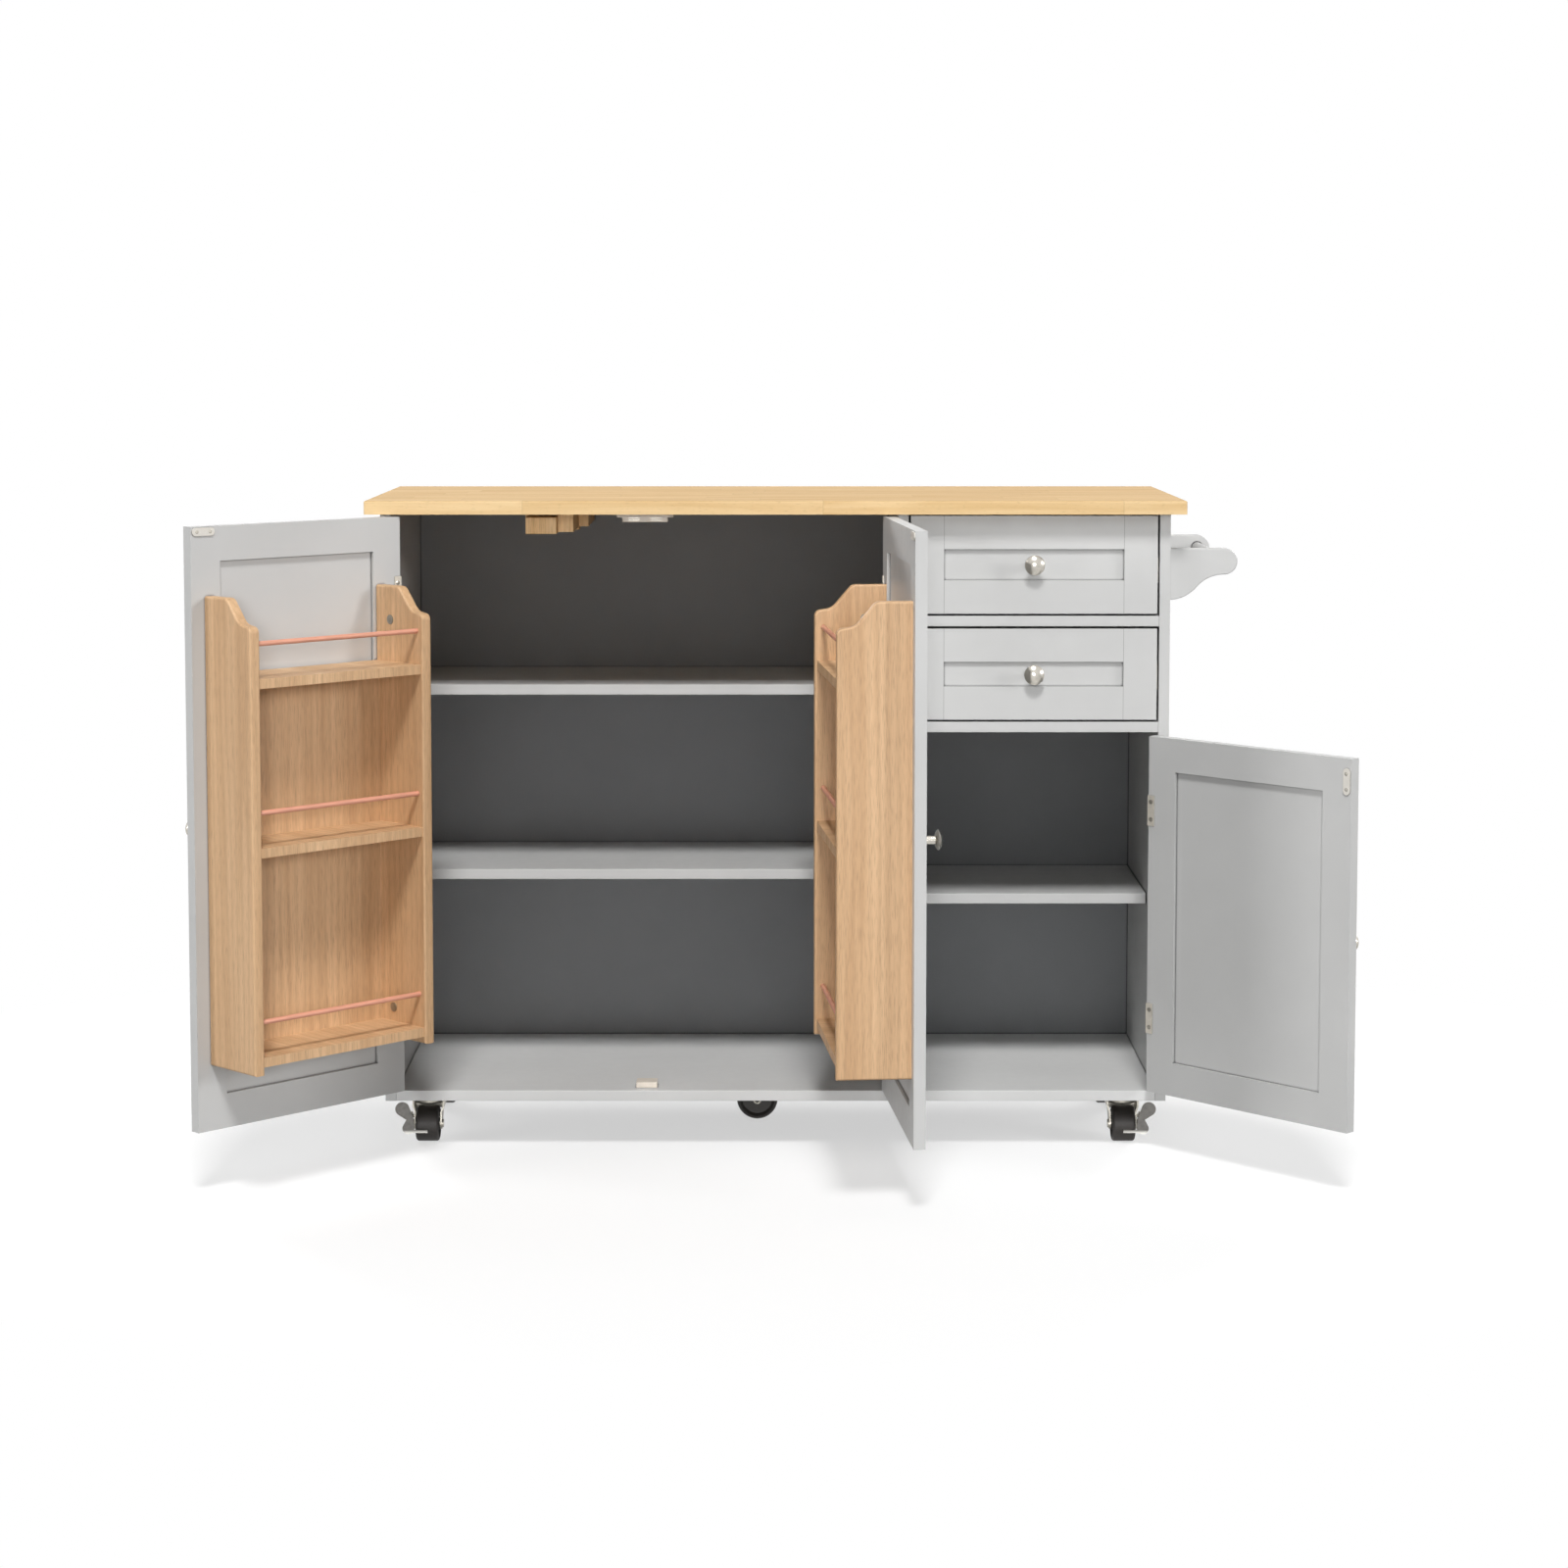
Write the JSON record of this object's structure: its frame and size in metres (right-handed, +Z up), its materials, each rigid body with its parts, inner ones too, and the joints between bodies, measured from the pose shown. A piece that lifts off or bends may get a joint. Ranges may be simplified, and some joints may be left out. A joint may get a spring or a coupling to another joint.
{
  "type": "pantry cabinet",
  "caption": "Rolling kitchen-island pantry cabinet with a wooden worktop, framed doors that carry inner racks, drawers, a drop leaf and a towel rail.",
  "frame": {"origin": "on the floor, below the middle of the worktop", "axes": "+X to the right as seen from the front, along the worktop; +Y from front to back; +Z up"},
  "size_m": [1.576, 0.7946, 0.926],
  "materials": {
    "painted_board": "light grey satin paint on board",
    "worktop_wood": "pale glued rubberwood, clear satin",
    "rack_wood": "oak-look board, matt",
    "rail_wood": "reddish turned rod, satin",
    "bare_wood": "bare softwood",
    "drawer_board": "plain pale board",
    "steel": "zinc-plated sheet",
    "nickel": "satin nickel",
    "catch_plastic": "cream moulded plastic",
    "wheel_rubber": "black moulded tread",
    "black_fork": "black coated sheet"
  },
  "bodies": {
    "cabinet": {"worktop": "worktop_wood", "left_side_panel": "painted_board", "right_side_panel": "painted_board", "divider_panel": "painted_board", "bottom_panel": "painted_board", "back_panel": "painted_board", "shelves": "painted_board", "shelf_pins": "steel", "drawer_rails": "painted_board", "door_catches": "catch_plastic", "towel_rack": "painted_board", "leaf_support_bar": "bare_wood", "leaf_support_guides": "bare_wood", "leaf_hinge_fixed_plates": "steel", "frame_hinge_leaves": "steel", "door_hinge_pins": "steel", "drawer_tracks": "steel", "caster_plates": "steel"},
    "left_door": {"left_door_frame": "painted_board", "left_door_panel": "painted_board", "left_door_knob": "nickel", "left_door_fittings": "steel", "left_rack_sides": "rack_wood", "left_rack_boards": "rack_wood", "left_rack_rails": "rail_wood", "left_rack_cam_locks": "steel"},
    "right_door": {"right_door_frame": "painted_board", "right_door_panel": "painted_board", "right_door_knob": "nickel", "right_door_fittings": "steel", "right_rack_sides": "rack_wood", "right_rack_boards": "rack_wood", "right_rack_rails": "rail_wood", "right_rack_cam_locks": "steel"},
    "small_door": {"small_door_frame": "painted_board", "small_door_panel": "painted_board", "small_door_knob": "nickel", "small_door_fittings": "steel"},
    "upper_drawer": {"upper_drawer_front": "painted_board", "upper_drawer_box": "drawer_board", "upper_drawer_knob": "nickel", "upper_drawer_slides": "steel"},
    "lower_drawer": {"lower_drawer_front": "painted_board", "lower_drawer_box": "drawer_board", "lower_drawer_knob": "nickel", "lower_drawer_slides": "steel"},
    "drop_leaf": {"drop_leaf": "worktop_wood", "leaf_hinge_moving_plates": "steel"},
    "front_left_swivel": {"front_left_caster_fork": "steel"},
    "front_left_wheel": {"front_left_caster_wheel": "wheel_rubber"},
    "front_right_swivel": {"front_right_caster_fork": "steel"},
    "front_right_wheel": {"front_right_caster_wheel": "wheel_rubber"},
    "rear_left_swivel": {"rear_left_caster_fork": "steel"},
    "rear_left_wheel": {"rear_left_caster_wheel": "wheel_rubber"},
    "rear_right_swivel": {"rear_right_caster_fork": "steel"},
    "rear_right_wheel": {"rear_right_caster_wheel": "wheel_rubber"},
    "centre_swivel": {"centre_caster_fork": "black_fork"},
    "centre_wheel": {"centre_caster_wheel": "wheel_rubber"},
    "front_left_brake": {"front_left_brake_pedal": "steel"},
    "front_right_brake": {"front_right_brake_pedal": "steel"}
  },
  "joints": [
    {"name": "left_door_hinge", "type": "hinge", "parent": "cabinet", "child": "left_door", "pos_m": [-0.5385, -0.199, 0.4965], "axis": [0, 0, -1], "range_deg": [-135, 40]},
    {"name": "right_door_hinge", "type": "hinge", "parent": "cabinet", "child": "right_door", "pos_m": [0.1705, -0.199, 0.4965], "axis": [0, 0, 1], "range_deg": [-95, 70]},
    {"name": "small_door_hinge", "type": "hinge", "parent": "cabinet", "child": "small_door", "pos_m": [0.5385, -0.199, 0.342], "axis": [0, 0, 1], "range_deg": [-134, 40]},
    {"name": "upper_drawer_slide", "type": "slide", "parent": "cabinet", "child": "upper_drawer", "axis": [0, 1, 0], "range_m": [-0.23, 0]},
    {"name": "lower_drawer_slide", "type": "slide", "parent": "cabinet", "child": "lower_drawer", "axis": [0, 1, 0], "range_m": [-0.23, 0]},
    {"name": "drop_leaf_hinge", "type": "hinge", "parent": "cabinet", "child": "drop_leaf", "pos_m": [0, 0.221, 0.9048], "axis": [1, 0, 0], "range_deg": [0, 90]},
    {"name": "front_left_swivel_turn", "type": "hinge", "parent": "cabinet", "child": "front_left_swivel", "pos_m": [-0.5, -0.115, 0.0675], "axis": [0, 0, 1], "continuous": true},
    {"name": "front_left_wheel_spin", "type": "hinge", "parent": "front_left_swivel", "child": "front_left_wheel", "pos_m": [-0.5, -0.142, 0.025], "axis": [1, 0, 0], "continuous": true},
    {"name": "front_left_brake_lever", "type": "hinge", "parent": "front_left_swivel", "child": "front_left_brake", "pos_m": [-0.5, -0.142, 0.036], "axis": [-1, 0, 0], "range_deg": [0, 12]},
    {"name": "front_right_swivel_turn", "type": "hinge", "parent": "cabinet", "child": "front_right_swivel", "pos_m": [0.5, -0.115, 0.0675], "axis": [0, 0, 1], "continuous": true},
    {"name": "front_right_wheel_spin", "type": "hinge", "parent": "front_right_swivel", "child": "front_right_wheel", "pos_m": [0.5, -0.142, 0.025], "axis": [1, 0, 0], "continuous": true},
    {"name": "front_right_brake_lever", "type": "hinge", "parent": "front_right_swivel", "child": "front_right_brake", "pos_m": [0.5, -0.142, 0.036], "axis": [-1, 0, 0], "range_deg": [0, 12]},
    {"name": "rear_left_swivel_turn", "type": "hinge", "parent": "cabinet", "child": "rear_left_swivel", "pos_m": [-0.5, 0.12, 0.0675], "axis": [0, 0, 1], "continuous": true},
    {"name": "rear_left_wheel_spin", "type": "hinge", "parent": "rear_left_swivel", "child": "rear_left_wheel", "pos_m": [-0.5, 0.093, 0.025], "axis": [1, 0, 0], "continuous": true},
    {"name": "rear_right_swivel_turn", "type": "hinge", "parent": "cabinet", "child": "rear_right_swivel", "pos_m": [0.5, 0.12, 0.0675], "axis": [0, 0, 1], "continuous": true},
    {"name": "rear_right_wheel_spin", "type": "hinge", "parent": "rear_right_swivel", "child": "rear_right_wheel", "pos_m": [0.5, 0.093, 0.025], "axis": [1, 0, 0], "continuous": true},
    {"name": "centre_swivel_turn", "type": "hinge", "parent": "cabinet", "child": "centre_swivel", "pos_m": [0, 0.0025, 0.0675], "axis": [0, 0, 1], "continuous": true},
    {"name": "centre_wheel_spin", "type": "hinge", "parent": "centre_swivel", "child": "centre_wheel", "pos_m": [-0.027, 0.0025, 0.03], "axis": [0, -1, 0], "continuous": true}
  ]
}
